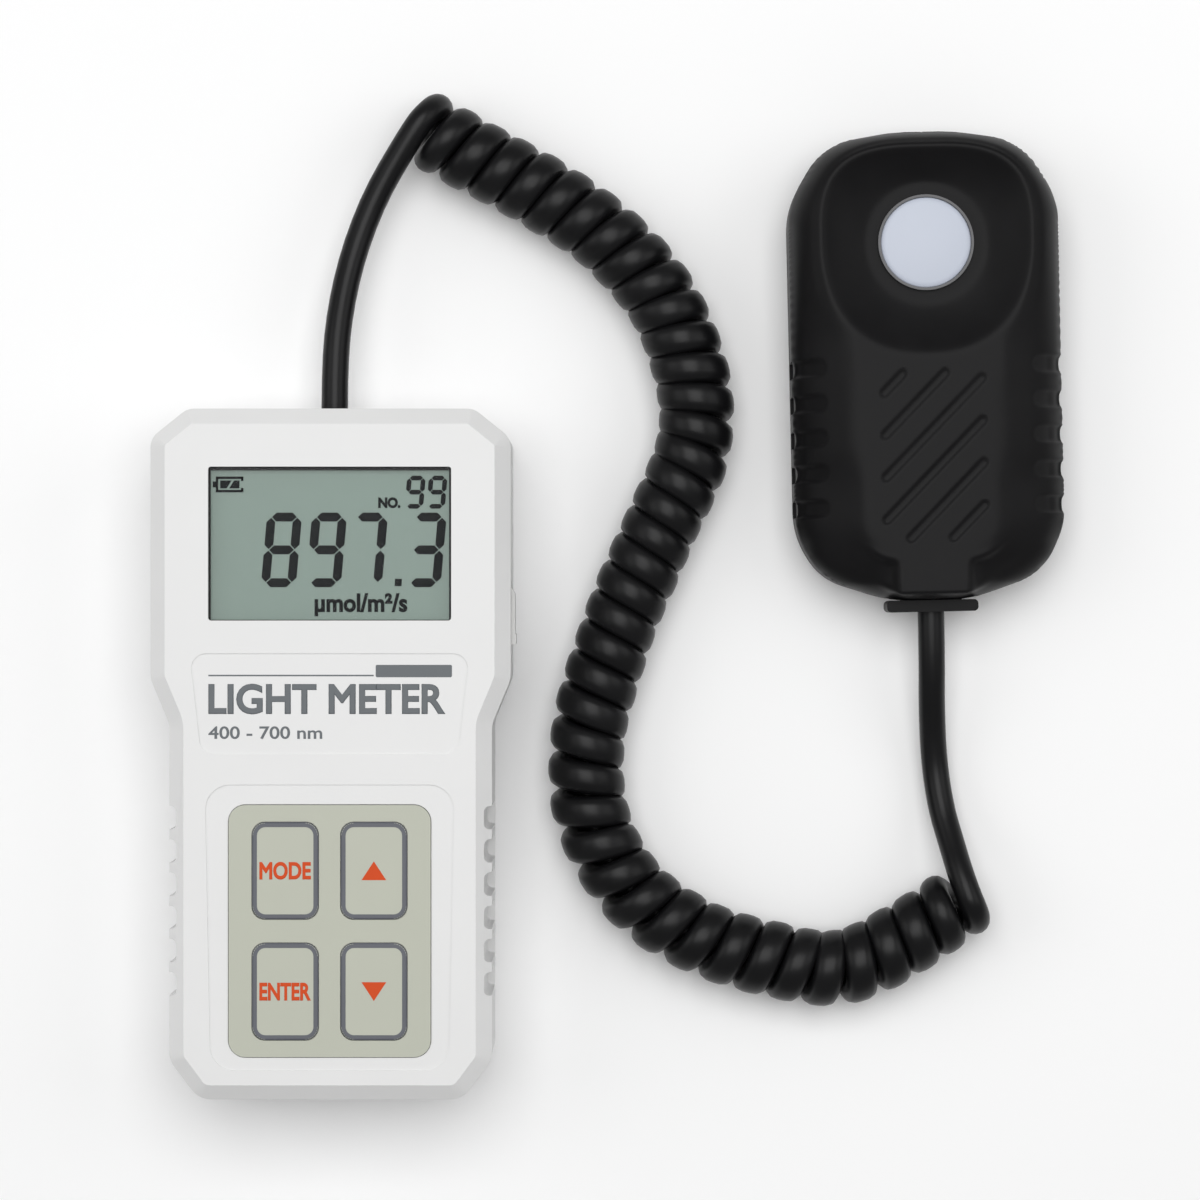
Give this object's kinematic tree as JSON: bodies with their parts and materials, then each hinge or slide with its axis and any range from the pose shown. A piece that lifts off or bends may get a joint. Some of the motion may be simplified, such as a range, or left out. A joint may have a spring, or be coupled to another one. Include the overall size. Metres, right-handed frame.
{
  "type": "light meter",
  "caption": "Hand-held light meter: display, membrane keypad, sliding battery door and a cosine sensor head on a coiled cord.",
  "frame": {"origin": "centre of the meter's flat back face, which lies on the ground", "axes": "+X to the right of the display, +Y from the keypad to the display, +Z out of the display"},
  "size_m": [0.1869, 0.2061, 0.0332],
  "materials": {
    "case_white": "fine matt-satin moulded ABS, off-white",
    "window_clear": "clear polished acrylic",
    "lcd_cell": "grey-green reflective LCD",
    "inner_plastic": "plain black moulding",
    "rubber_grey": "soft grey silicone",
    "board_green": "glass-epoxy board with solder mask",
    "chip_black": "moulded epoxy",
    "screw_steel": "zinc-plated steel",
    "dome_steel": "stainless steel",
    "film_clear": "polyester film",
    "overlay_beige": "printed matt polyester, beige-grey",
    "battery_case": "painted steel jacket",
    "lead_red": "soft wire insulation",
    "bush_brass": "machined brass",
    "cover_rubber": "off-white soft moulding",
    "cord_black": "satin black polyurethane jacket",
    "head_black": "satin black moulded plastic",
    "diffuser_white": "satin opal plastic",
    "filter_glass": "blue-tinted filter glass"
  },
  "bodies": {
    "meter": {"front_shell": "case_white", "rear_shell": "case_white", "lcd_window": "window_clear", "lcd_glass": "lcd_cell", "lcd_frame": "inner_plastic", "zebra_strips": "rubber_grey", "main_board": "board_green", "board_chips": "chip_black", "cord_header": "inner_plastic", "board_screws": "screw_steel", "case_screws": "screw_steel", "keypad_circuit": "film_clear", "snap_domes": "dome_steel", "keypad_spacer": "film_clear", "keypad_overlay": "overlay_beige", "battery": "battery_case", "battery_snap": "chip_black", "battery_leads": "lead_red", "tripod_bush": "bush_brass", "port_socket": "chip_black", "cord_grommet": "cord_black", "inner_cord": "cord_black", "cord_clamp": "inner_plastic", "clamp_screws": "screw_steel", "cord_tail_meter": "cord_black", "coil_cord": "cord_black"},
    "key_mode": {"key_mode": "overlay_beige"},
    "key_up": {"key_up": "overlay_beige"},
    "key_enter": {"key_enter": "overlay_beige"},
    "key_down": {"key_down": "overlay_beige"},
    "battery_door": {"battery_door": "case_white"},
    "port_cover": {"port_cover": "cover_rubber"},
    "sensor_head": {"head_cover": "head_black", "head_base": "head_black", "head_screws": "screw_steel", "diffuser": "diffuser_white", "diffuser_seal": "rubber_grey", "optic_holder": "chip_black", "optical_filter": "filter_glass", "photodiode": "dome_steel", "sensor_board": "board_green", "sensor_screws": "screw_steel", "head_gland": "head_black", "head_inner_cord": "cord_black", "head_cord_clamp": "inner_plastic", "head_clamp_screws": "screw_steel", "cord_tail_head": "cord_black"}
  },
  "joints": [
    {"name": "key_mode_press", "type": "slide", "parent": "meter", "child": "key_mode", "axis": [0, 0, -1], "range_m": [0, 0.0004], "stiffness_N_per_m": 600},
    {"name": "key_up_press", "type": "slide", "parent": "meter", "child": "key_up", "axis": [0, 0, -1], "range_m": [0, 0.0004], "stiffness_N_per_m": 600},
    {"name": "key_enter_press", "type": "slide", "parent": "meter", "child": "key_enter", "axis": [0, 0, -1], "range_m": [0, 0.0004], "stiffness_N_per_m": 600},
    {"name": "key_down_press", "type": "slide", "parent": "meter", "child": "key_down", "axis": [0, 0, -1], "range_m": [0, 0.0004], "stiffness_N_per_m": 600},
    {"name": "battery_door_slide", "type": "slide", "parent": "meter", "child": "battery_door", "axis": [0, -1, 0], "range_m": [0, 0.04]},
    {"name": "port_cover_swing", "type": "hinge", "parent": "meter", "child": "port_cover", "pos_m": [0.03675, 0.0336, 0.0198], "axis": [0, 0, 1], "range_deg": [0, 90]},
    {"name": "head_swing", "type": "hinge", "parent": "meter", "child": "sensor_head", "pos_m": [0.127, -0.017, 0.0074], "axis": [0, 0, 1], "range_deg": [-25, 5], "deforming": ["cord_tail_head"]}
  ]
}
